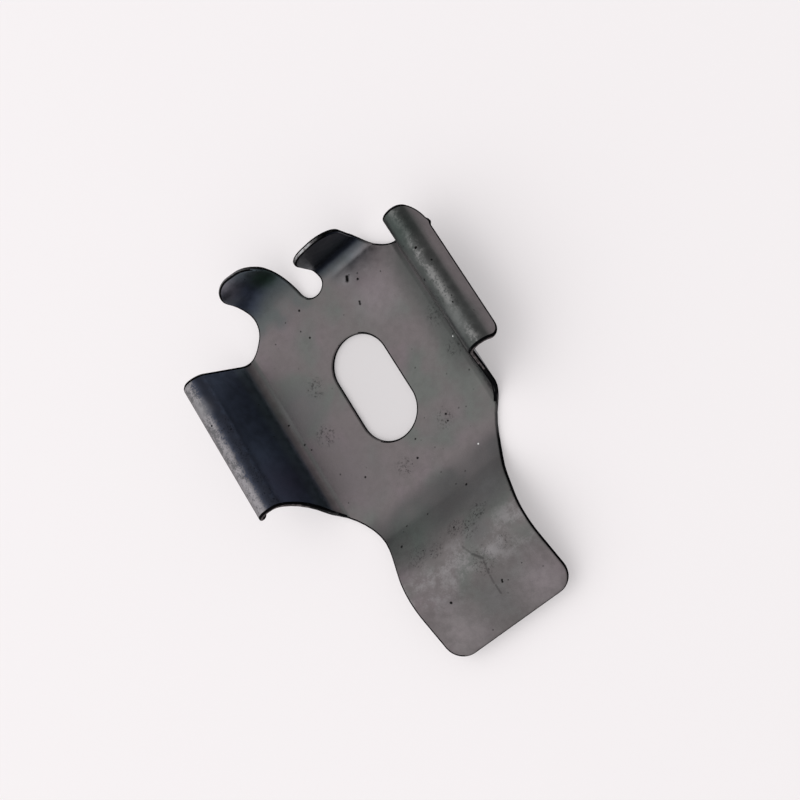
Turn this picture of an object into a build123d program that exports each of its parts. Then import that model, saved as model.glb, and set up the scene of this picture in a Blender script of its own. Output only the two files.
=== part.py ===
from build123d import *
import os
from math import cos, radians, sin, sqrt, tan

# Fuel door spring: one stamped leaf of black spring steel. A flat plate with an obround slot
# carries two wings that stand up and hook over outwards, two horns that curve up at the top
# end, and a tongue that rises over a hump at the bottom end.
# Millimetres and degrees. The origin is the slot's centre on the plate's underside, +Z is up
# out of the plate, +Y points to the horns and -Y to the tongue's tip.
# The outline is drawn flat, as the blank is stamped, and each flap is then folded. Bends are
# measured at the middle of the sheet, so a flap is as long folded as it is flat.

# Sheet
sheet = 0.55

# Slot in the plate
slot_width = 6.5
slot_centres = 5.5

# Wings: their edges flat, then their section folded; the left lip is turned in further
wing_top = 10.75
wing_bottom = 5.7
wing_top_corner = 2.85
wing_bottom_corner = 1.5
wing_fold_at = 9.8
wing_bend_radius = 1.65
wing_angle = 73.5
wing_wall = 5.5
wing_crest_radius = 1.3
wing_lip_angle = 62.5
wing_lip = 1.6
left_lip_angle = 92.0

# Tongue: its edges flat, then its section folded
neck_radius = 10.5
tongue_width = 15.15
tongue_reach = 29.4
tongue_corner = 2.1
tongue_fold_past_wings = 1.7
tongue_bend_radius = 6.0
tongue_angle = 28.0
tongue_rise = 4.3
tongue_crest_radius = 6.0
tongue_fall_angle = 20.5

# Horns: their edges flat, from the keyhole between them to the relief beside each wing
horn_fold_past_wings = 1.3
keyhole_radius = 1.45
keyhole_past_fold = 0.2
keyhole_lean = 4.5
horn_inner_length = 8.4
horn_outer_length = 9.0
horn_outer_lean = 7.0
horn_inner_corner = 2.6
horn_outer_corner = 2.4
relief_width = 2.7
relief_depth = 2.55
relief_past_fold = 0.1
relief_horn_radius = 3.8
relief_wing_radius = 3.5

# Horns, folded: the right one stands up straight, the left one eases over towards its tip
right_horn_radius = 1.8
right_horn_angle = 94.0
left_horn_radius = 4.2
left_horn_angle = 76.0
left_horn_wall = 1.2
left_horn_ease_radius = 4.0
left_horn_tip_angle = 38.0

# Drawing aids: points along a folded curve, and a length that is none
curve_points = 13
hair = 1e-6

# Places that follow from the sizes above
horn_fold_at = wing_top + horn_fold_past_wings
horn_outer_side = wing_fold_at - relief_width
keyhole_at = horn_fold_at - keyhole_past_fold + keyhole_radius
wing_crest = wing_crest_radius * radians(wing_angle + wing_lip_angle)
wing_reach = wing_fold_at + wing_bend_radius * radians(wing_angle) + wing_wall + wing_crest + wing_lip
neck_centre_x = tongue_width / 2 + neck_radius
neck_centre_y = wing_bottom + neck_radius
wing_root = neck_centre_y - sqrt(neck_radius**2 - (neck_centre_x - wing_fold_at) ** 2)
tongue_fold_at = wing_root + tongue_fold_past_wings
past_all = 2 * (wing_reach + tongue_reach)


def flat_blank():
    """The stamped outline with its keyhole and slot, before any fold."""
    lean = radians(keyhole_lean)
    keyhole_side = Vector(keyhole_radius * cos(lean), keyhole_at - keyhole_radius * sin(lean))
    inner_tip_y = horn_fold_at + horn_inner_length
    outer_tip_y = horn_fold_at + horn_outer_length
    relief_foot_y = wing_top + relief_depth
    inner_tip_x = keyhole_side.X + (inner_tip_y - keyhole_side.Y) * tan(lean)
    outer_tip_x = horn_outer_side + (outer_tip_y - relief_foot_y) * tan(radians(horn_outer_lean))
    edge = FilletPolyline(
        keyhole_side,
        (inner_tip_x, inner_tip_y),
        (outer_tip_x, outer_tip_y),
        (horn_outer_side, relief_foot_y),
        (wing_fold_at + relief_past_fold, wing_top),
        (wing_reach, wing_top),
        (wing_reach, -wing_bottom),
        (tongue_width / 2, -wing_bottom),
        (tongue_width / 2, -tongue_reach),
        (0, -tongue_reach),
        radius=[
            horn_inner_corner,
            horn_outer_corner,
            relief_horn_radius,
            relief_wing_radius,
            wing_top_corner,
            wing_bottom_corner,
            neck_radius,
            tongue_corner,
        ],
    )
    middle = Polyline((0, -tongue_reach), (0, keyhole_at), keyhole_side)
    half = make_face([*edge.edges(), *middle.edges()])
    blank = half + mirror(half, about=Plane.YZ)
    blank -= Pos(0, keyhole_at) * Circle(keyhole_radius)
    blank -= SlotCenterToCenter(slot_centres, slot_width, rotation=90)
    return blank


def within(blank, left, right, bottom, top):
    """The part of the blank inside a rectangle."""
    return blank & Pos((left + right) / 2, (bottom + top) / 2) * Rectangle(right - left, top - bottom)


class Fold:
    """A flap's section: bends ("bend", radius, turn) and straight runs ("run", length)."""

    def __init__(self, *pieces):
        self.pieces = []
        out, up, angle, start = 0.0, 0.0, 0.0, 0.0
        steepest, lowest = 0.0, 0.0
        for kind, size, *turn in pieces:
            turn = radians(turn[0]) if turn else 0.0
            length = size * abs(turn) if kind == "bend" else size
            self.pieces.append((size, turn, out, up, angle, start, length))
            out, up, angle = self.reach(self.pieces[-1], length)
            start += length
            steepest, lowest = max(steepest, angle), min(lowest, angle)
        self.punch = (steepest + lowest) / 2

    def reach(self, piece, length):
        """Where the middle of the sheet is, and its slope, a length into one piece."""
        size, turn, out, up, angle, _, _ = piece
        if turn == 0.0:
            return out + length * cos(angle), up + length * sin(angle), angle
        side = 1 if turn > 0 else -1
        end = angle + side * length / size
        out += side * size * (sin(end) - sin(angle))
        up += side * size * (cos(angle) - cos(end))
        return out, up, end

    def underside(self, piece, length):
        out, up, angle = self.reach(piece, length)
        return Vector(out + sheet / 2 * sin(angle), up - sheet / 2 * cos(angle))

    def punched(self, length):
        """A point of the underside, measured across the punch."""
        length = max(length, 0.0)
        piece = [p for p in self.pieces if p[5] <= length][-1]
        point = self.underside(piece, length - piece[5])
        return point.X * cos(self.punch) + point.Y * sin(self.punch)

    def edges(self):
        """The underside's section, piece by piece."""
        for piece in self.pieces:
            ends = [self.underside(piece, share * piece[6]) for share in (0, 0.5, 1)]
            yield Line(ends[0], ends[2]) if piece[1] == 0.0 else ThreePointArc(*ends)


def folded(region, out, fold_at, fold):
    """Folds a region of the blank up from a line square to out, and gives it its thickness."""
    up = Vector(0, 0, 1)
    across = up.cross(out)
    hinge = out * fold_at + up * (sheet / 2)
    section_plane = Plane(hinge, x_dir=out, z_dir=out.cross(up))
    normal = up * cos(fold.punch) - out * sin(fold.punch)
    punch_plane = Plane(hinge, x_dir=out * cos(fold.punch) + up * sin(fold.punch), z_dir=normal)

    def punched(point):
        return Vector(fold.punched(point.dot(out) - fold_at), point.dot(across))

    outline = []
    for edge in region.face().outer_wire().edges():
        ends = [edge @ 0, edge @ 1]
        run = ends[1] - ends[0]
        square = min(abs(run.dot(out)), abs(run.dot(across))) < hair
        if edge.geom_type == GeomType.LINE and square:
            outline.append(Line(*[punched(end) for end in ends]))
        else:
            steps = [edge @ (i / (curve_points - 1)) for i in range(curve_points)]
            outline.append(Spline(*[punched(step) for step in steps]))
    punch = extrude(punch_plane * make_face(outline), past_all, both=True)

    sheets = []
    for edge in fold.edges():
        strip = Face.extrude(section_plane.location * edge.edge(), across * 2 * past_all)
        strip = strip.moved(Location(across * -past_all))
        trimmed = strip & punch
        if trimmed is not None:
            sheets += [Solid.thicken(face, sheet, normal_override=normal) for face in trimmed.faces()]
    return sheets


def spring():
    blank = flat_blank()
    right_wing_fold, left_wing_fold = [
        Fold(
            ("bend", wing_bend_radius, wing_angle),
            ("run", wing_wall),
            ("bend", wing_crest_radius, -wing_angle - lip_angle),
            ("run", past_all),
        )
        for lip_angle in (wing_lip_angle, left_lip_angle)
    ]
    tongue_fold = Fold(
        ("bend", tongue_bend_radius, tongue_angle),
        ("run", tongue_rise),
        ("bend", tongue_crest_radius, -tongue_angle - tongue_fall_angle),
        ("run", past_all),
    )
    right_horn_fold = Fold(
        ("bend", right_horn_radius, right_horn_angle),
        ("run", past_all),
    )
    left_horn_fold = Fold(
        ("bend", left_horn_radius, left_horn_angle),
        ("run", left_horn_wall),
        ("bend", left_horn_ease_radius, left_horn_tip_angle - left_horn_angle),
        ("run", past_all),
    )
    plate = within(blank, -wing_fold_at, wing_fold_at, -tongue_fold_at, horn_fold_at)
    wing = within(blank, wing_fold_at, past_all, -past_all, past_all)
    tongue = within(blank, -wing_fold_at, wing_fold_at, -past_all, -tongue_fold_at)
    horn = within(blank, 0, wing_fold_at, horn_fold_at, past_all)
    left_wing = folded(wing, Vector(1, 0, 0), wing_fold_at, left_wing_fold)
    pieces = [
        extrude(plate, sheet).solid(),
        *folded(wing, Vector(1, 0, 0), wing_fold_at, right_wing_fold),
        *[mirror(piece, about=Plane.YZ) for piece in left_wing],
        *folded(tongue, Vector(0, -1, 0), tongue_fold_at, tongue_fold),
        *folded(horn, Vector(0, 1, 0), horn_fold_at, right_horn_fold),
        *folded(mirror(horn, about=Plane.YZ), Vector(0, 1, 0), horn_fold_at, left_horn_fold),
    ]
    return pieces[0].fuse(*pieces[1:])


os.makedirs("parts", exist_ok=True)
leaf = spring()
export_step(leaf, "parts/spring_leaf.step")
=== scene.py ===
import bpy
import math
from mathutils import Matrix, Vector


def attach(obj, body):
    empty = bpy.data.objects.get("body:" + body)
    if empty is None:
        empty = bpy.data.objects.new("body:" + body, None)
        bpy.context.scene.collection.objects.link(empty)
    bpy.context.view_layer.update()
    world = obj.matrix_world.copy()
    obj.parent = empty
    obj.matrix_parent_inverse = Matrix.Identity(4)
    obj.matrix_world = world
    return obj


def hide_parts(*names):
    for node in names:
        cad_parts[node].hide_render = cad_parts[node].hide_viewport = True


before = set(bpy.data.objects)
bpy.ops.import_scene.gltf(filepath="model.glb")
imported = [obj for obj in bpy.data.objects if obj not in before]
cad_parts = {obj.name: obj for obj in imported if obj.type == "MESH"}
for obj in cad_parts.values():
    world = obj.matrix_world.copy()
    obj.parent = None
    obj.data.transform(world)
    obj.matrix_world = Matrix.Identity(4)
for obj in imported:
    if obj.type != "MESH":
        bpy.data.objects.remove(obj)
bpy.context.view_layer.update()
print("frame loaded")

mm = 0.001    # shapes and finishes are in millimetres, and the mesh is brought to metres at the end

# The leaf's finishes, by their number on its mesh
steelFinish, rimShadeFinish, tipFinish, sideCutAndShadeFinish, upperRimShadeFinish = range(5)

# The blank as it is stamped, seen from above, and the bends of each flap
leaf = {
    "sheet": 0.55,
    "slotWidth": 6.5,
    "slotCentres": 5.5,
    "wingTop": 10.75,
    "wingBottom": 5.7,
    "wingTopCorner": 2.85,
    "wingBottomCorner": 1.5,
    "wingFoldAt": 9.8,
    "wingSection": [("bend", 1.65, 73.5), ("run", 5.5), ("bend", 1.3, -136.0), ("run", 1.6)],
    "leftWingSection": [("bend", 1.65, 73.5), ("run", 5.5), ("bend", 1.3, -165.5), ("run", 5.0)],
    "neckRadius": 10.5,
    "tongueWidth": 15.15,
    "tongueReach": 29.4,
    "tongueCorner": 2.1,
    "tongueFoldPastWings": 1.7,
    "tongueSection": [("bend", 6.0, 28.0), ("run", 4.3), ("bend", 6.0, -48.5), ("run", 20.0)],
    "hornFoldPastWings": 1.3,
    "keyholeRadius": 1.45,
    "keyholePastFold": 0.2,
    "keyholeLean": 4.5,
    "hornInnerLength": 8.4,
    "hornOuterLength": 9.0,
    "hornOuterLean": 7.0,
    "hornInnerCorner": 2.6,
    "hornOuterCorner": 2.4,
    "reliefWidth": 2.7,
    "reliefDepth": 2.55,
    "reliefPastFold": 0.1,
    "reliefHornRadius": 3.8,
    "reliefWingRadius": 3.5,
    "rightHornSection": [("bend", 1.8, 94.0), ("run", 20.0)],
    "leftHornSection": [("bend", 4.2, 76.0), ("run", 1.2), ("bend", 4.0, -38.0), ("run", 20.0)],
    "arcStep": 6.0,      # degrees between two points of a round stretch of the outline
    "bendStep": 4.0,     # degrees between two creases of a bend
    "burr": (22.06, 8.0),     # left by the press on the right lip's corner
    "burrReach": 0.45,
    "burrWay": (0.38, 0.1),
    "rimRound": 0.2,
    "rimSteps": 3,
    "rimBand": 0.1,      # how far the rim's painted black shade reaches onto the wings
    "sharpAngle": 60.0,
    "smoothAngle": 40.0,
    "merge": 0.0005,
}

# How the rims are told apart. A rise is the upward part of a face's normal, which is 1 on a level face.
rims = {
    "sideRise": 0.5,          # a cut side rises less than this
    "nearWay": (0.776, -0.63, 0.0),    # the side that the camera is on
    "nearFacing": 0.05,
    "lowerFacing": -0.5,
    "pastWingFold": 0.6,      # the wings' rims start this far past their fold
    "levelRise": 0.99,
    "roundRise": 0.5,         # the upper half of the round between side and top starts here
    "steelRise": 0.85,        # and is steel from here up
    "plateSteelRise": 0.5,    # beside the plate it is steel from here up
    "tipRise": 0.4,           # end faces that look up more than this show bare metal; the others take the cut side's painted black shade
}


def sectionPieces(section):
    # size, signed turn in radians and length of each piece
    for _, size, *turn in section:
        turn = math.radians(turn[0]) if turn else 0.0
        yield size, turn, size * abs(turn) if turn else size


def alongSection(section, length):
    # how far out and up the middle of the sheet is, and its slope, a length past the fold
    out, up, slope = 0.0, 0.0, 0.0
    for size, turn, whole in sectionPieces(section):
        part = min(length, whole)
        if turn:
            side = math.copysign(1.0, turn)
            end = slope + side * part / size
            out += side * size * (math.sin(end) - math.sin(slope))
            up += side * size * (math.cos(slope) - math.cos(end))
            slope = end
        else:
            out += part * math.cos(slope)
            up += part * math.sin(slope)
        length -= part
        if length <= 0:
            break
    return out + length * math.cos(slope), up + length * math.sin(slope), slope


def creasePlaces(section):
    # lengths past the fold at which the sheet is creased
    start = 0.0
    for _, turn, whole in sectionPieces(section):
        steps = max(1, math.ceil(math.degrees(abs(turn)) / leaf["bendStep"]))
        for step in range(steps):
            yield start + whole * step / steps
        start += whole


leaf["wingReach"] = leaf["wingFoldAt"] + sum(whole for _, _, whole in sectionPieces(leaf["wingSection"]))
leaf["hornFoldAt"] = leaf["wingTop"] + leaf["hornFoldPastWings"]
neckAcross = leaf["tongueWidth"] / 2 + leaf["neckRadius"] - leaf["wingFoldAt"]
neckDrop = leaf["neckRadius"] - math.sqrt(leaf["neckRadius"] ** 2 - neckAcross ** 2)
leaf["wingRoot"] = leaf["wingBottom"] + neckDrop
leaf["tongueFoldAt"] = leaf["wingRoot"] + leaf["tongueFoldPastWings"]


def halfCorners():
    # x, y and radius of each corner of the right half
    lean = math.radians(leaf["keyholeLean"])
    keyholeRadius = leaf["keyholeRadius"]
    keyholeFloor = leaf["hornFoldAt"] - leaf["keyholePastFold"]
    keyholeCorner = keyholeRadius * math.tan((math.pi / 2 - lean) / 2)
    innerTip = leaf["hornFoldAt"] + leaf["hornInnerLength"]
    outerTip = leaf["hornFoldAt"] + leaf["hornOuterLength"]
    reliefFoot = leaf["wingTop"] + leaf["reliefDepth"]
    outerSide = leaf["wingFoldAt"] - leaf["reliefWidth"]
    outerTipX = outerSide + (outerTip - reliefFoot) * math.tan(math.radians(leaf["hornOuterLean"]))
    innerTipX = keyholeCorner + (innerTip - keyholeFloor) * math.tan(lean)
    half = leaf["tongueWidth"] / 2
    slotHalf = leaf["slotWidth"] / 2
    slotEnd = leaf["slotCentres"] / 2 + slotHalf
    return [
        (0, -leaf["tongueReach"], 0),
        (half, -leaf["tongueReach"], leaf["tongueCorner"]),
        (half, -leaf["wingBottom"], leaf["neckRadius"]),
        (leaf["wingReach"], -leaf["wingBottom"], leaf["wingBottomCorner"]),
        (leaf["wingReach"], leaf["wingTop"], leaf["wingTopCorner"]),
        (leaf["wingFoldAt"] + leaf["reliefPastFold"], leaf["wingTop"], leaf["reliefWingRadius"]),
        (outerSide, reliefFoot, leaf["reliefHornRadius"]),
        (outerTipX, outerTip, leaf["hornOuterCorner"]),
        (innerTipX, innerTip, leaf["hornInnerCorner"]),
        (keyholeCorner, keyholeFloor, keyholeRadius),
        (0, keyholeFloor, 0),
        (0, slotEnd, 0),
        (slotHalf, slotEnd, slotHalf),
        (slotHalf, -slotEnd, slotHalf),
        (0, -slotEnd, 0),
    ]


def roundedOutline(corners):
    points = []
    for index, (x, y, radius) in enumerate(corners):
        corner = Vector((x, y))
        if not radius:
            points.append(corner)
            continue
        back = (Vector(corners[index - 1][:2]) - corner).normalized()
        ahead = (Vector(corners[(index + 1) % len(corners)][:2]) - corner).normalized()
        turn = math.pi - back.angle(ahead)
        centre = corner + (back + ahead).normalized() * radius / math.cos(turn / 2)
        spoke = corner + back * radius * math.tan(turn / 2) - centre
        side = math.copysign(1.0, -back.cross(ahead))
        steps = math.ceil(math.degrees(turn) / leaf["arcStep"])
        for step in range(steps + 1):
            points.append(centre + Matrix.Rotation(side * turn * step / steps, 2) @ spoke)
    gaps = [(point - points[index - 1]).length for index, point in enumerate(points)]
    return [point for point, gap in zip(points, gaps) if gap > leaf["merge"]]


def selectFaces(piece, wanted):
    bpy.ops.object.mode_set(mode="EDIT")
    bpy.ops.mesh.select_mode(type="FACE")
    bpy.ops.mesh.select_all(action="DESELECT")
    bpy.ops.object.mode_set(mode="OBJECT")
    for face in piece.data.polygons:
        face.select = wanted(face)
    bpy.ops.object.mode_set(mode="EDIT")


def makeBlank(materials):
    # half of the outline as one face, raised to the sheet's thickness, then mirrored
    points = roundedOutline(halfCorners())
    bpy.ops.object.select_all(action="DESELECT")
    bpy.ops.mesh.primitive_circle_add(vertices=len(points), fill_type="NGON")
    blank = bpy.context.object
    blank.name = "leaf"
    for vertex, point in zip(blank.data.vertices, points):
        vertex.co = (point.x, point.y, 0)
    for material in materials:
        blank.data.materials.append(material)
    bpy.ops.object.mode_set(mode="EDIT")
    bpy.ops.mesh.select_all(action="SELECT")
    bpy.ops.mesh.extrude_region_move(TRANSFORM_OT_translate={"value": (0, 0, leaf["sheet"])})
    bpy.ops.object.mode_set(mode="OBJECT")
    for face in blank.data.polygons:
        face.material_index = tipFinish if abs(face.normal.z) < rims["sideRise"] else steelFinish
    selectFaces(blank, lambda face: abs(face.center.x) < leaf["merge"])
    bpy.ops.mesh.delete(type="ONLY_FACE")
    bpy.ops.object.mode_set(mode="OBJECT")
    mirror = blank.modifiers.new("otherHalf", "MIRROR")
    mirror.merge_threshold = leaf["merge"]
    bpy.ops.object.modifier_apply(modifier=mirror.name)

    # the rim is rounded all round, with a narrow band on top
    bpy.ops.object.mode_set(mode="EDIT")
    bpy.ops.mesh.select_mode(type="EDGE")
    bpy.ops.mesh.select_all(action="SELECT")
    bpy.ops.mesh.normals_make_consistent(inside=False)
    bpy.ops.mesh.select_all(action="DESELECT")
    bpy.ops.mesh.edges_select_sharp(sharpness=math.radians(leaf["sharpAngle"]))
    bpy.ops.mesh.bevel(
        offset=leaf["rimRound"], segments=leaf["rimSteps"], affect="EDGES", material=rimShadeFinish)
    bpy.ops.object.mode_set(mode="OBJECT")
    selectFaces(blank, lambda face: face.normal.z > rims["levelRise"])
    bpy.ops.mesh.inset(thickness=leaf["rimBand"])
    bpy.ops.object.mode_set(mode="OBJECT")
    paintRims(blank)
    return blank


def paintRims(blank):
    # The rim is painted black, as shade and outline. Off the wings, its top is steel where it faces the
    # near side, the camera's. On the wings, the band is black but for their lower ends. The lower half of
    # the upper round goes with the cut side.
    beside = {}
    for face in blank.data.polygons:
        for key in face.edge_keys:
            beside.setdefault(key, []).append(face)
    nearWay = Vector(rims["nearWay"])
    for face in blank.data.polygons:
        rise = face.normal.z
        onBand = rise > rims["levelRise"] and not face.select
        around = [other for key in face.edge_keys for other in beside[key]] if onBand else [face]
        onWing = abs(face.center.x) > leaf["wingFoldAt"] + rims["pastWingFold"]
        if onWing:
            near = sum(other.normal.y for other in around) < rims["lowerFacing"]
        else:
            near = sum(nearWay.dot(other.normal) for other in around) > rims["nearFacing"]
        besidePlate = -leaf["wingRoot"] < face.center.y and not onWing
        if onBand:
            face.material_index = rimShadeFinish if onWing and not near else steelFinish
        elif face.material_index == rimShadeFinish and 0 < rise < rims["roundRise"]:
            face.material_index = tipFinish
        elif face.material_index == rimShadeFinish and near and rise > 0:
            steelRise = rims["plateSteelRise"] if besidePlate else rims["steelRise"]
            face.material_index = steelFinish if rise > steelRise else upperRimShadeFinish


def creaseBlank(blank):
    # the blank is cut across wherever it will bend, and beside the burr
    bpy.ops.object.mode_set(mode="EDIT")
    planes = []
    for side, section in ((1, leaf["wingSection"]), (-1, leaf["leftWingSection"])):
        for place in creasePlaces(section):
            planes.append(((side * (leaf["wingFoldAt"] + place), 0, 0), (1, 0, 0)))
    for place in creasePlaces(leaf["tongueSection"]):
        planes.append(((0, -leaf["tongueFoldAt"] - place, 0), (0, 1, 0)))
    for section in (leaf["rightHornSection"], leaf["leftHornSection"]):
        for place in creasePlaces(section):
            planes.append(((0, leaf["hornFoldAt"] + place, 0), (0, 1, 0)))
    planes.append(((0, leaf["burr"][1] - leaf["burrReach"], 0), (0, 1, 0)))
    for place, normal in planes:
        bpy.ops.mesh.select_all(action="SELECT")
        bpy.ops.mesh.bisect(plane_co=place, plane_no=normal)
    bpy.ops.object.mode_set(mode="OBJECT")


def foldPoint(point):
    height = point.z - leaf["sheet"] / 2
    if abs(point.x) > leaf["wingFoldAt"]:
        side = math.copysign(1.0, point.x)
        section = leaf["wingSection"] if point.x > 0 else leaf["leftWingSection"]
        out, up, slope = alongSection(section, abs(point.x) - leaf["wingFoldAt"])
        point.x = side * (leaf["wingFoldAt"] + out - height * math.sin(slope))
    elif point.y < -leaf["tongueFoldAt"]:
        out, up, slope = alongSection(leaf["tongueSection"], -point.y - leaf["tongueFoldAt"])
        point.y = -leaf["tongueFoldAt"] - out + height * math.sin(slope)
    elif point.y > leaf["hornFoldAt"]:
        section = leaf["rightHornSection"] if point.x > 0 else leaf["leftHornSection"]
        out, up, slope = alongSection(section, point.y - leaf["hornFoldAt"])
        point.y = leaf["hornFoldAt"] + out - height * math.sin(slope)
    else:
        return
    point.z = leaf["sheet"] / 2 + up + height * math.cos(slope)


def makeLeaf(materials):
    piece = makeBlank(materials)
    creaseBlank(piece)
    for vertex in piece.data.vertices:
        fromBurr = (vertex.co.xy - Vector(leaf["burr"])).length
        vertex.co.xy += Vector(leaf["burrWay"]) * max(0.0, 1 - fromBurr / leaf["burrReach"])
        foldPoint(vertex.co)
    for face in piece.data.polygons:
        if face.material_index == tipFinish and face.normal.z < rims["tipRise"]:
            face.material_index = sideCutAndShadeFinish
    piece.data.transform(Matrix.Scale(mm, 4))
    bpy.ops.object.shade_smooth_by_angle(angle=math.radians(leaf["smoothAngle"]))
    weighted = piece.modifiers.new("flatsStayFlat", "WEIGHTED_NORMAL")
    weighted.keep_sharp = True
    bpy.ops.object.modifier_apply(modifier=weighted.name)
    print("leaf folded:", len(piece.data.polygons), "faces")
    return piece


def newMaterial(name):
    material = bpy.data.materials.new(name)
    material.use_nodes = True
    tree = material.node_tree
    shader = tree.nodes["Principled BSDF"]
    return material, tree, shader


def addNode(tree, kind, inputs, **settings):
    node = tree.nodes.new(kind)
    for name, value in settings.items():
        setattr(node, name, value)
    for name, value in inputs.items():
        if isinstance(value, bpy.types.NodeSocket):
            tree.links.new(value, node.inputs[name])
        else:
            node.inputs[name].default_value = value
    return node


def maths(tree, operation, *values):
    node = addNode(tree, "ShaderNodeMath", dict(enumerate(values)), operation=operation)
    return node.outputs[0]


def vectorMaths(tree, operation, inputs, result=0):
    return addNode(tree, "ShaderNodeVectorMath", inputs, operation=operation).outputs[result]


def together(tree, operation, masks):
    joined = masks[0]
    for mask in masks[1:]:
        joined = maths(tree, operation, joined, mask)
    return joined


def product(tree, *masks):
    return together(tree, "MULTIPLY", masks)


def spread(tree, value, lowest, highest, first=0.0, last=1.0):
    # brings a value between lowest and highest to between first and last
    inputs = {"Value": value, "From Min": lowest, "From Max": highest, "To Min": first, "To Max": last}
    node = addNode(tree, "ShaderNodeMapRange", inputs, interpolation_type="SMOOTHSTEP")
    return node.outputs["Result"]


def noise(tree, place, size, detail, roughness):
    inputs = {"Vector": place, "Scale": 1 / size, "Detail": detail, "Roughness": roughness}
    return addNode(tree, "ShaderNodeTexNoise", inputs).outputs["Fac"]


noiseSpan = (0.3, 0.7)    # most of a noise lies between these


def wavered(tree, value, waves, reach):
    # a value that strays as far as reach with a noise
    return maths(tree, "ADD", value, spread(tree, waves, *noiseSpan, -reach, reach))


def blendColour(tree, amount, first, second):
    node = addNode(tree, "ShaderNodeMix", {0: amount, 6: first, 7: second}, data_type="RGBA")
    return node.outputs[2]


def placeInMillimetres(tree):
    place = addNode(tree, "ShaderNodeTexCoord", {}).outputs["Object"]
    return vectorMaths(tree, "SCALE", {0: place, "Scale": 1 / mm})


def leafFields(tree):
    # where a point is on the leaf
    place = placeInMillimetres(tree)
    axes = addNode(tree, "ShaderNodeSeparateXYZ", {"Vector": place}).outputs
    return {
        "place": place,
        "across": axes["X"],
        "along": axes["Y"],
        "height": axes["Z"],
        "outwards": maths(tree, "ABSOLUTE", axes["X"]),
    }


def faceNormal(tree):
    normal = addNode(tree, "ShaderNodeTexCoord", {}).outputs["Normal"]
    return addNode(tree, "ShaderNodeSeparateXYZ", {"Vector": normal}).outputs


def region(tree, fields, fades):
    # A fade is a field's name, the values that it fades between, and the amounts there, unless they are
    # 0 and 1. A region is where all of its fades are.
    return product(tree, *[spread(tree, fields[name], *ends) for name, *ends in fades])


def onSteel(x, y):
    # a place on the blank's upper side, after folding
    point = Vector((x, y, leaf["sheet"]))
    foldPoint(point)
    return point


def away(tree, place, centre):
    return vectorMaths(tree, "DISTANCE", {0: place, 1: centre}, "Value")


def dotMask(tree, place, dots, core):
    # core is the share of each dot's size that is full
    return together(tree, "MAXIMUM", [
        spread(tree, away(tree, place, onSteel(x, y)), size, core * size) for x, y, size in dots
    ])


def scratchMask(tree, place, scratches, core):
    lines = []
    for start, end, width, depth in scratches:
        start, end = onSteel(*start), onSteel(*end)
        run = end - start
        fromStart = vectorMaths(tree, "SUBTRACT", {0: place, 1: start})
        along = vectorMaths(tree, "DOT_PRODUCT", {0: fromStart, 1: run / run.length_squared}, "Value")
        share = addNode(tree, "ShaderNodeClamp", {"Value": along}).outputs[0]
        foot = vectorMaths(tree, "SCALE", {0: run, "Scale": share})
        lines.append(spread(tree, away(tree, fromStart, foot), width, core * width, 0.0, depth))
    return together(tree, "MAXIMUM", lines)


def paintRegions(tree, fields, colour, regions):
    for tint, fades in regions:
        colour = blendColour(tree, region(tree, fields, fades), colour, tint)
    return colour


def paintStainsAndPaintedLight(tree, fields, colour, stainsAndPaintedLight):
    # soft patches of another tone, with ragged borders: stains, and painted shade and painted light
    for x, y, size, tint in stainsAndPaintedLight:
        near = spread(tree, away(tree, fields["place"], onSteel(x, y)), size, 0.0)
        colour = blendColour(tree, product(tree, near, fields["ragged"]), colour, tint)
    return colour


# The steel's finish. A noise is its size, detail and roughness. A tone or roughness with two values
# changes between them with a noise.
steel = {
    "colour": (0.112, 0.1, 0.101, 1),
    "violetTint": (0.12, 0.101, 0.108, 1),
    "greenTint": (0.094, 0.099, 0.094, 1),
    "noises": {
        "drift": (7.0, 2.0, 0.5),
        "cloud": (3.2, 4.0, 0.5),
        "patches": (2.8, 9.0, 0.64),
        "mottle": (0.8, 6.0, 0.6),
        "fine": (0.22, 6.0, 0.72),
        "grain": (0.09, 2.0, 0.5),
    },
    "green": [("drift", 0.4, 0.6)],
    "tinted": [("cloud", 0.4, 0.65, 0.2, 0.9)],
    "ragged": [("cloud", 0.3, 0.6, 0.55, 1.0)],
    "onLeft": [("across", -1.0, -2.0)],
    "hornWaver": 1.1,
    "mottleTone": (0.9, 1.1),
    "grainTone": (0.95, 1.05),
    "roughness": (0.33, 0.43),
    "rubbedRoughness": 0.06,
    "grainRelief": 0.5,
    "mottleRelief": 0.8,
    "markRelief": 3.0,
    "bumpStrength": 0.35,
    "bumpDepth": 0.012,
}
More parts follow.
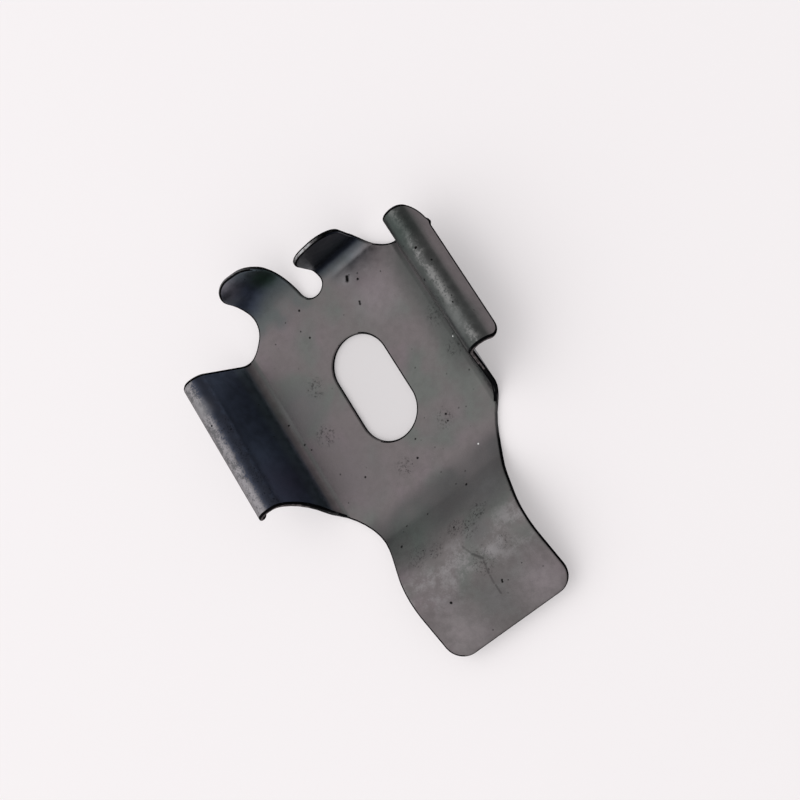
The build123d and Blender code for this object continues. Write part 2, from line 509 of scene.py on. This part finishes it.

# Tints laid on the steel, each with its region, in the order in which they are laid on. Most are painted
# shade and painted light where the sheet bends and stands up; the rest are stains and patches of tone.
oxideAndPaintedShade = {
    "paintedShadeAndLightUnder": [
        # painted shade on the horns
        ((0.068, 0.078, 0.078, 1), [("waveredAlong", 11.3, 13.8, 0.0, 0.85)]),
        # painted shade, blue, where the sheet stands up, most of all on the inner sides
        ((0.081, 0.104, 0.155, 1), [
            ("height", 0.6, 3.0), ("along", -9.0, -6.0), ("along", 12.2, 11.0, 0.35, 1.0),
            ("facingOut", 0.3, -0.3, 0.4, 1.0), ("outwards", 14.7, 13.9),
        ]),
        # painted light, pale blue, low on the left wing's inner side
        ((0.118, 0.155, 0.188, 1), [("height", 3.4, 1.8), ("height", 0.9, 1.7), ("across", -10.2, -10.8)]),
        # painted shade where the left wing starts to bend
        ((0.062, 0.064, 0.063, 1), [
            ("across", -10.44, -10.18), ("across", -9.72, -9.98), ("height", 2.2, 1.0, 0.0, 0.8),
        ]),
        # painted shade where the tongue leaves the plate
        ((0.058, 0.056, 0.057, 1), [
            ("along", -10.4, -12.4), ("along", -18.0, -15.0, 0.0, 0.9), ("cloud", 0.3, 0.6, 0.55, 1.0),
        ]),
    ],
    "stainsAndPaintedLight": [
        # painted shade on the left horn, darker and blue-green
        (-6.3, 19.2, 2.4, (0.08, 0.08, 0.104, 1)),
        (-4.9, 17.8, 2.8, (0.078, 0.096, 0.15, 1)),
        (-2.8, 17.6, 1.8, (0.062, 0.105, 0.09, 1)),
        # painted shade where the tongue rises
        (-4.5, -15.8, 5.0, (0.078, 0.09, 0.083, 1)),
        (5.0, -16.4, 3.6, (0.082, 0.081, 0.082, 1)),
        # painted light on the tongue's end, less in its middle
        (-5.2, -27.0, 5.0, (0.165, 0.147, 0.151, 1)),
        (4.8, -27.6, 5.0, (0.165, 0.144, 0.151, 1)),
        (0.2, -26.4, 3.0, (0.105, 0.1, 0.101, 1)),
        # patches of another tone on the hump and the plate
        (2.6, -20.0, 2.2, (0.084, 0.082, 0.083, 1)),
        (6.0, 8.0, 5.0, (0.15, 0.13, 0.138, 1)),
        (8.3, 10.4, 3.4, (0.165, 0.145, 0.15, 1)),
        (-7.0, -6.0, 5.0, (0.112, 0.099, 0.103, 1)),
        (-8.3, 3.0, 4.2, (0.09, 0.088, 0.09, 1)),
        # painted shade, dark blue, low on the left wing
        (-15.2, -3.6, 4.5, (0.064, 0.062, 0.1, 1)),
        # on the left horn, a painted highlight towards its tip, then painted shade
        (-6.0, 20.4, 2.6, (0.155, 0.148, 0.17, 1)),
        (-2.8, 17.6, 2.6, (0.032, 0.06, 0.047, 1)),
        (-7.0, 16.3, 2.8, (0.045, 0.054, 0.085, 1)),
        # painted light at the right horn's root
        (6.3, 12.7, 2.4, (0.11, 0.118, 0.13, 1)),
        (3.4, 12.8, 2.2, (0.09, 0.098, 0.104, 1)),
        (6.4, 11.2, 1.9, (0.2, 0.182, 0.188, 1)),
        (4.0, 11.4, 1.7, (0.17, 0.16, 0.166, 1)),
    ],
    "paintedShadeAndLightOver": [
        # painted shade low on the right horn
        ((0.018, 0.023, 0.036, 1), [
            ("across", 0.2, 1.0), ("along", 11.6, 12.4), ("height", 0.5, 1.5, 0.0, 0.95),
        ]),
        # painted shade along the right wing's foot
        ((0.06, 0.063, 0.061, 1), [
            ("across", 7.2, 10.1), ("across", 10.9, 10.1, 0.2, 1.0), ("height", 3.0, 1.0, 0.0, 0.9),
            ("along", -6.5, -3.0), ("along", 11.0, 8.0, 0.5, 1.0),
        ]),
        # painted shade, darker still, where the right wing starts to bend
        ((0.032, 0.034, 0.033, 1), [("across", 9.8, 10.1), ("across", 10.6, 10.3, 0.0, 0.45)]),
        # painted light on the wings' lips
        ((0.154, 0.14, 0.143, 1), [("outwards", 14.1, 15.1)]),
    ],
}


def oxideAndPaintedShadeColour(tree, fields):
    # its hue drifts over the plate, and painted shade and painted light change it where the sheet bends and
    # stands up
    tint = blendColour(tree, region(tree, fields, steel["green"]), steel["violetTint"], steel["greenTint"])
    colour = blendColour(tree, region(tree, fields, steel["tinted"]), steel["colour"], tint)
    colour = paintRegions(tree, fields, colour, oxideAndPaintedShade["paintedShadeAndLightUnder"])
    colour = paintStainsAndPaintedLight(tree, fields, colour, oxideAndPaintedShade["stainsAndPaintedLight"])
    return paintRegions(tree, fields, colour, oxideAndPaintedShade["paintedShadeAndLightOver"])


# The wings' crests: a speckled ridge that is partly wear and partly painted highlight, with painted shade
# on their inner sides. Of two tones, the first is the right wing's.
crests = {
    "outerTones": ((0.08, 0.081, 0.08, 1), (0.104, 0.101, 0.106, 1)),
    "innerTones": ((0.052, 0.056, 0.054, 1), (0.042, 0.047, 0.066, 1)),
    "speckleTones": ((0.174, 0.172, 0.17, 1), (0.205, 0.194, 0.204, 1)),
    "wearAndPaintedLight": [("outwards", 11.5, 12.5), ("crestHeight", 5.3, 6.7)],
    "leftStartsHigher": 0.85,
    "heightWaver": 0.35,
    "innerSide": [("jaggedOut", 14.35, 13.65)],
    "fineJags": 0.25,
    "coarseJags": 0.2,
    "turnTone": (0.092, 0.096, 0.094, 1),     # painted light where the right wing starts to turn over
    "turned": [("outwards", 12.95, 13.4)],
    "ridge": [("outwards", 13.65, 14.45), ("outwards", 15.25, 14.45)],
    "outerSide": [("outwards", 14.25, 14.45)],
    "fineWeight": 1.8,
    "speckled": [("speckle", 1.75, 2.02)],
    "offEnd": [("outwards", 15.9, 15.35)],
    "outlineShadeTone": (0.012, 0.012, 0.013, 1),    # painted shade: a dark line along the left wing's outer side, at its outline
    "outlineShadeLine": [("outwards", 15.24, 15.38, 0.0, 0.95)],
    "stainsAndPaintedLight": [
        # on the crests, darker and lighter patches of the painted highlight
        (18.6, 8.4, 3.6, (0.038, 0.048, 0.044, 1)),
        (19.3, -2.4, 3.0, (0.088, 0.092, 0.09, 1)),
        (-19.5, 7.4, 1.9, (0.17, 0.165, 0.172, 1)),
    ],
}


def wornAndPaintedCrests(tree, fields, colour):
    onLeft = fields["onLeft"]
    rightInner, leftInner = crests["innerTones"]
    rightInner = blendColour(tree, region(tree, fields, crests["turned"]), crests["turnTone"], rightInner)
    innerTone = blendColour(tree, onLeft, rightInner, leftInner)
    outerTone = blendColour(tree, onLeft, *crests["outerTones"])
    speckleTone = blendColour(tree, onLeft, *crests["speckleTones"])
    tone = blendColour(tree, region(tree, fields, crests["innerSide"]), outerTone, innerTone)
    leftOuter = product(tree, region(tree, fields, crests["outerSide"]), onLeft)
    ridge = maths(tree, "MAXIMUM", region(tree, fields, crests["ridge"]), leftOuter)
    speckled = product(tree, region(tree, fields, crests["speckled"]), ridge)
    tone = blendColour(tree, speckled, tone, speckleTone)
    offEnd = maths(tree, "MAXIMUM", region(tree, fields, crests["offEnd"]), onLeft)
    # the crests' wear and painted highlight
    wearAndPaintedLight = product(tree, region(tree, fields, crests["wearAndPaintedLight"]), offEnd)
    colour = blendColour(tree, wearAndPaintedLight, colour, tone)
    # the painted shade line at the left wing's outline
    outlineShade = product(tree, region(tree, fields, crests["outlineShadeLine"]), onLeft)
    colour = blendColour(tree, outlineShade, colour, crests["outlineShadeTone"])
    return paintStainsAndPaintedLight(tree, fields, colour, crests["stainsAndPaintedLight"])


# The rubbed patches on the tongue's hump. Spots are x and y on the blank, and size.
hump = {
    "tone": (0.168, 0.159, 0.162, 1),
    "amount": 0.95,
    "region": [("along", -24.5, -21.5), ("along", -17.3, -20.3)],
    "spots": [
        (-2.8, -21.8, 2.0), (0.0, -21.4, 2.0), (3.4, -22.4, 2.8), (5.4, -23.4, 1.8), (-5.4, -21.6, 2.3),
        (5.4, -20.2, 2.2),
    ],
    "spotWeight": 0.13,
    "mottleWaver": 0.07,
    "fineWaver": 0.08,
    "rubbedFrom": (0.48, 0.76),
}


def rubbedHump(tree, fields):
    nearSpots = product(tree, dotMask(tree, fields["place"], hump["spots"], 0.0), hump["spotWeight"])
    patches = maths(tree, "ADD", fields["patches"], nearSpots)
    patches = wavered(tree, patches, fields["mottle"], hump["mottleWaver"])
    patches = wavered(tree, patches, fields["fine"], hump["fineWaver"])
    return product(tree, region(tree, fields, hump["region"]), spread(tree, patches, *hump["rubbedFrom"]))


# Marks on the blank's upper side: x, y and size of each
marks = {
    "pitColour": (0.004, 0.004, 0.004, 1),
    "speckColour": (0.55, 0.55, 0.55, 1),
    "shakeSize": 0.16,
    "shakeReach": 0.12,
    "dotCore": 0.5,
    "scratchCore": 0.3,
    "pits": [
        (4.9, 10.3, 0.19), (-2.5, 11.8, 0.18), (-3.6, 9.9, 0.14), (-3.1, 8.7, 0.18), (19.3, 5.9, 0.2),
        (19.8, 4.0, 0.17), (18.3, 2.9, 0.17), (19.6, -0.15, 0.14), (19.4, -0.75, 0.15), (-19.2, 5.3, 0.17),
        (-10.5, 2.6, 0.17), (-10.0, -0.1, 0.16), (-9.6, -1.0, 0.14), (-6.0, -6.9, 0.17), (5.1, -6.9, 0.19),
        (4.9, -7.6, 0.15), (0.9, -7.0, 0.15), (0.0, -8.7, 0.18), (3.2, -14.4, 0.2), (-2.0, -14.4, 0.16),
        (-6.0, -15.8, 0.21), (-4.7, -14.0, 0.15), (0.3, -17.9, 0.17), (-3.8, -17.9, 0.15),
        (-3.9, -23.9, 0.2),
    ],
    "specks": [(10.3, -1.0, 0.1), (6.3, -11.4, 0.13)],
    "scratches": [      # from, to, width and depth of tone
        ((4.05, 11.25), (3.85, 10.9), 0.3, 1.0),
        ((3.75, 8.25), (3.65, 8.0), 0.2, 1.0),
        ((1.75, -25.0), (1.65, -25.2), 0.17, 1.0),
        ((0.4, -20.3), (0.9, -21.4), 0.19, 0.36),
        ((0.9, -21.4), (1.6, -22.3), 0.22, 0.5),
        ((1.6, -22.3), (2.4, -21.7), 0.17, 0.26),
        ((1.5, -22.6), (1.15, -23.7), 0.19, 0.42),
        ((1.1, -24.0), (0.9, -24.8), 0.17, 0.3),
        ((0.9, -25.1), (0.8, -26.0), 0.16, 0.34),
    ],
    "scuffs": [
        (1.3, -22.4, 1.9), (-4.6, -18.2, 1.6), (-2.4, -18.9, 1.1), (0.4, -18.0, 1.2), (4.7, -7.2, 1.3),
        (10.2, 2.0, 1.6), (9.7, -2.0, 1.2), (-7.4, -0.8, 1.5), (-5.5, 4.0, 1.4), (-1.7, -8.6, 1.3),
        (18.2, 0.6, 1.6), (1.8, -19.0, 1.5), (3.4, -18.0, 1.3), (4.4, -22.2, 1.2), (-18.2, 4.4, 1.3),
        (-18.4, 1.4, 1.7), (-18.3, -1.6, 1.5), (-18.1, -4.4, 1.5),
    ],
    "scuffed": [("fine", 0.51, 0.64, 0.0, 0.62)],
    "dotSpacing": 0.75,
    "dotSize": (0.16, 0.06),    # in spacings, at a dot's rim and at its core
    "dotCluster": (1.25, 1.4),
    "dotDepth": 0.7,
}


def surfaceMarks(tree, fields):
    # dark marks and bright specks, all with shaken outlines
    place = fields["place"]
    shake = addNode(tree, "ShaderNodeTexNoise", {"Vector": place, "Scale": 1 / marks["shakeSize"]})
    shakeInputs = {0: shake.outputs["Color"], 1: (marks["shakeReach"],) * 3, 2: place}
    shaken = vectorMaths(tree, "MULTIPLY_ADD", shakeInputs)
    cellInputs = {"Vector": shaken, "Scale": 1 / marks["dotSpacing"]}
    cells = addNode(tree, "ShaderNodeTexVoronoi", cellInputs).outputs
    chance = addNode(tree, "ShaderNodeSeparateXYZ", {"Vector": cells["Color"]}).outputs["X"]
    clustered = spread(tree, maths(tree, "ADD", chance, fields["cloud"]), *marks["dotCluster"])
    dots = spread(tree, cells["Distance"], *marks["dotSize"])
    scuffs = dotMask(tree, shaken, marks["scuffs"], marks["dotCore"])
    dark = together(tree, "MAXIMUM", [
        dotMask(tree, shaken, marks["pits"], marks["dotCore"]),
        product(tree, dots, clustered, marks["dotDepth"]),
        scratchMask(tree, shaken, marks["scratches"], marks["scratchCore"]),
        product(tree, scuffs, region(tree, fields, marks["scuffed"])),
    ])
    return dark, dotMask(tree, shaken, marks["specks"], marks["dotCore"])


def steelFields(tree):
    # what the steel's tones follow: places, noises, and places that stray with the noises
    fields = leafFields(tree)
    for name, settings in steel["noises"].items():
        fields[name] = noise(tree, fields["place"], *settings)
    fields["ragged"] = region(tree, fields, steel["ragged"])
    fields["onLeft"] = region(tree, fields, steel["onLeft"])
    outSide = maths(tree, "SIGN", fields["across"])
    fields["facingOut"] = product(tree, faceNormal(tree)["X"], outSide)
    fields["waveredAlong"] = wavered(tree, fields["along"], fields["cloud"], steel["hornWaver"])
    lift = product(tree, fields["onLeft"], crests["leftStartsHigher"])
    crestHeight = maths(tree, "SUBTRACT", fields["height"], lift)
    fields["crestHeight"] = wavered(tree, crestHeight, fields["mottle"], crests["heightWaver"])
    jaggedOut = wavered(tree, fields["outwards"], fields["fine"], crests["fineJags"])
    fields["jaggedOut"] = wavered(tree, jaggedOut, fields["mottle"], crests["coarseJags"])
    coarse = maths(tree, "ADD", fields["mottle"], fields["cloud"])
    fields["speckle"] = maths(tree, "ADD", product(tree, fields["fine"], crests["fineWeight"]), coarse)
    return fields


def steelMaterial():
    material, tree, shader = newMaterial("blackOxideSteel")
    fields = steelFields(tree)
    colour = oxideAndPaintedShadeColour(tree, fields)
    colour = wornAndPaintedCrests(tree, fields, colour)
    rubbed = rubbedHump(tree, fields)
    colour = blendColour(tree, product(tree, rubbed, hump["amount"]), colour, hump["tone"])
    dark, bright = surfaceMarks(tree, fields)
    colour = blendColour(tree, dark, colour, marks["pitColour"])
    colour = blendColour(tree, bright, colour, marks["speckColour"])

    # fine unevenness of tone, gloss and height
    mottle, grain = fields["mottle"], fields["grain"]
    mottleTone = spread(tree, mottle, *noiseSpan, *steel["mottleTone"])
    grainTone = spread(tree, grain, *noiseSpan, *steel["grainTone"])
    colour = vectorMaths(tree, "SCALE", {0: colour, "Scale": product(tree, mottleTone, grainTone)})
    rubbedRoughness = product(tree, rubbed, steel["rubbedRoughness"])
    roughness = maths(tree, "ADD", spread(tree, mottle, *noiseSpan, *steel["roughness"]), rubbedRoughness)
    relief = maths(tree, "ADD", product(tree, grain, steel["grainRelief"]),
                   product(tree, mottle, steel["mottleRelief"]))
    relief = maths(tree, "SUBTRACT", relief, product(tree, dark, steel["markRelief"]))
    bumpDepth = steel["bumpDepth"] * mm
    bumpInputs = {"Height": relief, "Strength": steel["bumpStrength"], "Distance": bumpDepth}
    bump = addNode(tree, "ShaderNodeBump", bumpInputs)
    tree.links.new(colour, shader.inputs["Base Color"])
    tree.links.new(roughness, shader.inputs["Roughness"])
    tree.links.new(bump.outputs["Normal"], shader.inputs["Normal"])
    shader.inputs["Metallic"].default_value = 1.0
    return material


# The sheared edge: rims painted black as shade and outline, cut sides painted black as shade but streaked
# on the wings' ends, and bare metal on the horns' tips
cutEdge = {
    "rimColour": (0.0035, 0.0035, 0.004, 1),
    "rimGloss": 0.0,
    "rimRoughness": 0.5,
    "rubbedRim": (0.03, 0.03, 0.031, 1),
    "rimNoise": (0.5, 5.0, 0.5),
    "rimFlecks": (0.6, 0.75),
    "sideColour": (0.13, 0.112, 0.114, 1),
    "sideStreak": (0.055, 0.048, 0.049, 1),
    "sideNoise": (0.35, 5.0, 0.6),
    "sideStreaks": (0.42, 0.62),
    "onWings": [("outwards", 10.6, 11.6)],
    "neckSide": (0.062, 0.06, 0.061, 1),      # beside the neck the cut is as pale as the plate
    "besideNeck": [("outwards", 8.2, 9.0), ("outwards", 11.2, 10.4), ("along", -6.2, -7.2)],
    "tipColour": (0.32, 0.32, 0.328, 1),
    "tipRoughness": 0.36,
    "tipNoise": (0.3, 4.0, 0.5),
    "tipStreaks": (0.35, 0.7),
    "tipLookingUp": (0.5, 0.95),
    "onTips": [("across", 7.0, 4.0), ("across", -2.0, 1.0, 0.35, 1.0)],
}


def blackCut(name, paint):
    # a dull cut of the sheet, painted dark as shade, coloured by a function of its tree and places
    material, tree, shader = newMaterial(name)
    tree.links.new(paint(tree, leafFields(tree)), shader.inputs["Base Color"])
    shader.inputs["Specular IOR Level"].default_value = cutEdge["rimGloss"]
    shader.inputs["Roughness"].default_value = cutEdge["rimRoughness"]
    return material


def paintSide(tree, fields):
    # the sheet's cut side between its two rims, streaked on the wings' ends and painted black as shade
    # elsewhere
    streaks = spread(tree, noise(tree, fields["place"], *cutEdge["sideNoise"]), *cutEdge["sideStreaks"])
    colour = blendColour(tree, streaks, cutEdge["sideColour"], cutEdge["sideStreak"])
    colour = blendColour(tree, region(tree, fields, cutEdge["onWings"]), cutEdge["rimColour"], colour)
    return blendColour(tree, region(tree, fields, cutEdge["besideNeck"]), colour, cutEdge["neckSide"])


# painted black as shade and outline, with rubbed flecks
def paintRim(tree, fields):
    flecks = spread(tree, noise(tree, fields["place"], *cutEdge["rimNoise"]), *cutEdge["rimFlecks"])
    return blendColour(tree, flecks, cutEdge["rimColour"], cutEdge["rubbedRim"])


# the upper round below the rim's steel top: painted black as shade, pale beside the neck
def paintUpperRim(tree, fields):
    besideNeck = region(tree, fields, cutEdge["besideNeck"])
    return blendColour(tree, besideNeck, cutEdge["rimColour"], cutEdge["neckSide"])


def tipMaterial():
    # the horns' end faces look up and show the sheared metal; what looks less up, and all off the tips, is
    # painted black as shade
    material, tree, shader = newMaterial("shearedTip")
    fields = leafFields(tree)
    streaks = spread(tree, noise(tree, fields["place"], *cutEdge["tipNoise"]), *cutEdge["tipStreaks"])
    colour = blendColour(tree, streaks, cutEdge["tipColour"], steel["colour"])
    lookingUp = spread(tree, faceNormal(tree)["Z"], *cutEdge["tipLookingUp"])
    bare = product(tree, lookingUp, region(tree, fields, cutEdge["onTips"]))
    tree.links.new(blendColour(tree, bare, cutEdge["rimColour"], colour), shader.inputs["Base Color"])
    shader.inputs["Metallic"].default_value = 1.0
    shader.inputs["Roughness"].default_value = cutEdge["tipRoughness"]
    return material


leafMaterials = {
    steelFinish: steelMaterial(),
    rimShadeFinish: blackCut("blackRim", paintRim),
    tipFinish: tipMaterial(),
    sideCutAndShadeFinish: blackCut("cutSide", paintSide),
    upperRimShadeFinish: blackCut("upperRim", paintUpperRim),
}
print("finishes made")
leafPiece = makeLeaf(leafMaterials.values())
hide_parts("spring_leaf")
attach(leafPiece, "root")

# Floor
floor = {
    "side": 1200.0,
    "below": 0.01,
    "colour": (0.52, 0.497, 0.503, 1),
    "paleness": (0.36, 0.347, 0.351, 1),      # what camera, gloss and glass rays see on top
    "roughness": 0.9,
    "gloss": 0.1,
    "shadeUnderPlate": 0.8,
    "shadeReach": (5.0, 9.0),      # from the slot's centre
}


def makeFloor():
    bpy.ops.object.select_all(action="DESELECT")
    bpy.ops.mesh.primitive_plane_add(size=floor["side"] * mm, location=(0, 0, -floor["below"] * mm))
    plane = bpy.context.object
    plane.name = "floor"
    material, tree, shader = newMaterial("palePaper")
    fromSlot = away(tree, placeInMillimetres(tree), (0, 0, 0))
    shade = spread(tree, fromSlot, *floor["shadeReach"], floor["shadeUnderPlate"], 1.0)
    paper = vectorMaths(tree, "SCALE", {0: floor["colour"][:3], "Scale": shade})
    rays = addNode(tree, "ShaderNodeLightPath", {}).outputs
    seen = together(tree, "ADD", [
        rays["Is Camera Ray"], rays["Is Glossy Ray"], rays["Is Transmission Ray"],
    ])
    glow = product(tree, maths(tree, "MINIMUM", seen, 1.0), shade)
    tree.links.new(paper, shader.inputs["Base Color"])
    tree.links.new(glow, shader.inputs["Emission Strength"])
    shader.inputs["Emission Color"].default_value = floor["paleness"]
    shader.inputs["Roughness"].default_value = floor["roughness"]
    shader.inputs["Specular IOR Level"].default_value = floor["gloss"]
    plane.data.materials.append(material)
    print("floor laid")


makeFloor()

# Camera, fitted to the photograph. Angles are degrees.
camera = {
    "azimuth": 50.938,
    "elevation": 62.995,
    "roll": 273.656,
    "distance": 177.313,
    "aim": (1.453, -2.654, 0.0),
    "pixelsPerMm": 9.844,     # at the aim
    "framePixels": 800,
    "sensor": 36.0,
    "nearest": 1.0,
}


def makeCamera():
    azimuth, elevation, roll = [math.radians(camera[key]) for key in ("azimuth", "elevation", "roll")]
    flat = math.cos(elevation)
    back = Vector((math.sin(azimuth) * flat, -math.cos(azimuth) * flat, math.sin(elevation)))
    level = Vector((math.cos(azimuth), math.sin(azimuth), 0))
    rise = back.cross(level)
    right = math.cos(roll) * level + math.sin(roll) * rise
    up = math.cos(roll) * rise - math.sin(roll) * level
    bpy.ops.object.camera_add()
    eye = bpy.context.object
    place = Matrix((right, up, back)).transposed().to_4x4()
    place.translation = (Vector(camera["aim"]) + back * camera["distance"]) * mm
    eye.matrix_world = place
    focalPixels = camera["pixelsPerMm"] * camera["distance"]
    eye.data.sensor_width = camera["sensor"]
    eye.data.lens = focalPixels / camera["framePixels"] * camera["sensor"]
    eye.data.clip_start = camera["nearest"] * mm
    bpy.context.scene.camera = eye
    print("camera placed")


makeCamera()

# Light: a soft overhead box, a little to the left, and a plain pale room
light = {
    "direction": (-0.5, 0.25, 0.82),
    "distance": 400.0,
    "side": 650.0,
    "power": 0.72,
    "brightSide": (-1.0, -0.15, 0.0),
    "roomFade": (-0.75, 0.35),      # from the dim side to the bright one
    "room": (0.47, 1.12),
}


def makeLights():
    bpy.ops.object.light_add(type="AREA")
    lamp = bpy.context.object
    lamp.name = "softBox"
    lamp.data.shape = "SQUARE"
    lamp.data.size = light["side"] * mm
    lamp.data.energy = light["power"]
    towards = Vector(light["direction"]).normalized()
    lamp.location = towards * light["distance"] * mm
    lamp.rotation_mode = "QUATERNION"
    lamp.rotation_quaternion = towards.to_track_quat("Z", "Y")
    world = bpy.data.worlds.new("room")
    bpy.context.scene.world = world
    world.use_nodes = True
    tree = world.node_tree
    look = addNode(tree, "ShaderNodeTexCoord", {}).outputs["Generated"]
    side = vectorMaths(tree, "DOT_PRODUCT", {0: look, 1: light["brightSide"]}, "Value")
    level = spread(tree, side, *light["roomFade"], *light["room"])
    tree.links.new(level, tree.nodes["Background"].inputs["Strength"])
    tree.nodes["Background"].inputs["Color"].default_value = (1, 1, 1, 1)
    print("lights on")


makeLights()
bpy.context.scene.view_settings.view_transform = "Standard"
